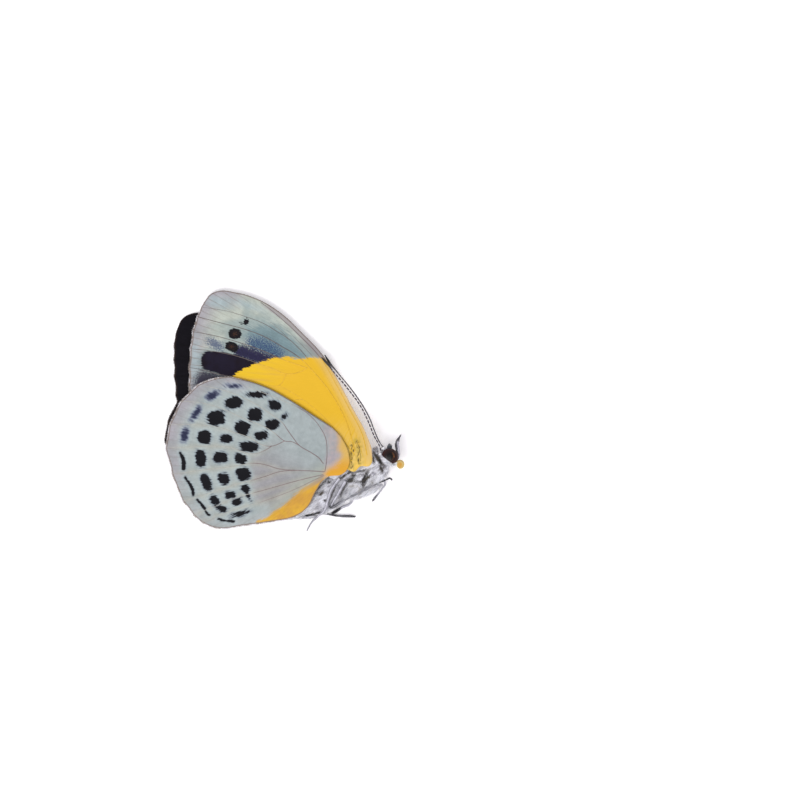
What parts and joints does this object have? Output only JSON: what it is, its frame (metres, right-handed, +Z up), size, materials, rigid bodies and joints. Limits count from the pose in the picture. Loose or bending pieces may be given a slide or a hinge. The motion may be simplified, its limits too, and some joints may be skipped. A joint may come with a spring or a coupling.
{
  "type": "butterfly specimen",
  "caption": "Dried butterfly specimen with closed wings, lying on its side; spotted pale blue and orange undersides, coiled tongue and clubbed antennae.",
  "frame": {"origin": "middle of the outline seen from above, on the surface the specimen lies on", "axes": "+Z up from the surface, out of the underside of the right wings; +X towards the head end; +Y towards the wing tips"},
  "size_m": [0.0334, 0.0335, 0.0044],
  "materials": {
    "body_hair": "dense matte grey-white hair over dark skin",
    "eye": "glossy dark brown, finely faceted",
    "palp_scales": "matte grey scales, dark along the back",
    "proboscis": "amber, slightly glossy and ringed",
    "antenna": "satin black with fine white rings",
    "forewing_scales": "matte scales: orange, pale green-blue and dark violet, with thin dark veins",
    "hindwing_scales": "matte scales: pale blue-green with black spots and an orange edge, with thin veins",
    "dark_wing_scales": "matte velvety black scales above, patterned as the right wings below",
    "leg": "satin grey to black, finely ringed and bristled"
  },
  "bodies": {
    "root": {"thorax": "body_hair", "abdomen": "body_hair", "head": "body_hair", "right_eye": "eye", "left_eye": "eye", "right_palp": "palp_scales", "left_palp": "palp_scales", "proboscis": "proboscis", "right_antenna": "antenna", "left_antenna": "antenna", "right_forewing": "forewing_scales", "right_hindwing": "hindwing_scales", "left_forewing": "dark_wing_scales", "left_hindwing": "dark_wing_scales", "right_foreleg": "leg", "left_foreleg": "leg", "right_midleg": "leg", "left_midleg": "leg", "right_hindleg": "leg", "left_hindleg": "leg"}
  },
  "joints": []
}
